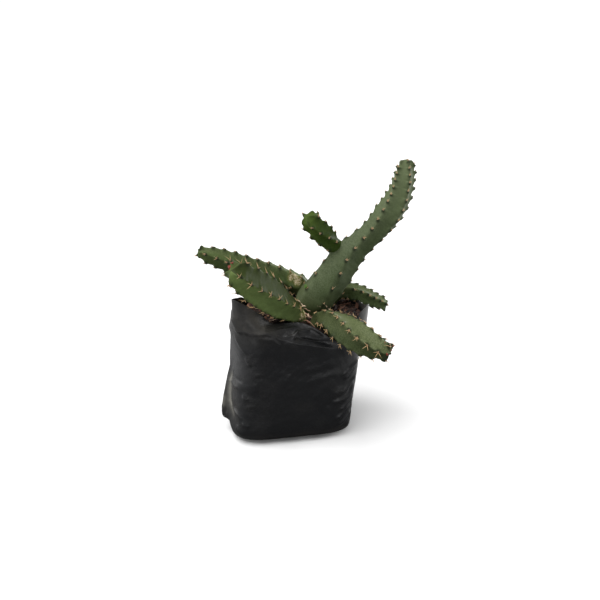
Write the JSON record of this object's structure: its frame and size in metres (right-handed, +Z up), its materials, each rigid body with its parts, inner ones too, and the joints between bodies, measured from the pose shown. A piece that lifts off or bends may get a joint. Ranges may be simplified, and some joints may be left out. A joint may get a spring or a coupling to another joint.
{
  "type": "potted cylindrical cactus",
  "caption": "Potted cactus with serrated, ribbed and spiny stems leaning out of a filled black polythene nursery bag that stands on its flat bottom.",
  "frame": {"origin": "middle of the bag's flat bottom", "axes": "+Z up, -Y towards the front, +X towards the side that the tall stem leans to"},
  "size_m": [0.1862, 0.1307, 0.2312],
  "materials": {
    "film": "satin",
    "potting_mix": "matte",
    "main_stem_skin": "satin",
    "offset_skin": "satin",
    "rear_stem_skin": "satin",
    "front_left_skin": "satin",
    "front_right_skin": "satin",
    "spine": "satin",
    "felt": "matte",
    "new_growth": "satin",
    "bark_chip": "matte",
    "litter": "matte"
  },
  "bodies": {
    "root": {"grow_bag": "film", "soil": "potting_mix", "main_stem": "main_stem_skin", "upper_offset": "offset_skin", "rear_left_stem": "rear_stem_skin", "front_left_stem": "front_left_skin", "front_right_stem": "front_right_skin", "rear_right_stem": "rear_stem_skin"}
  },
  "joints": []
}
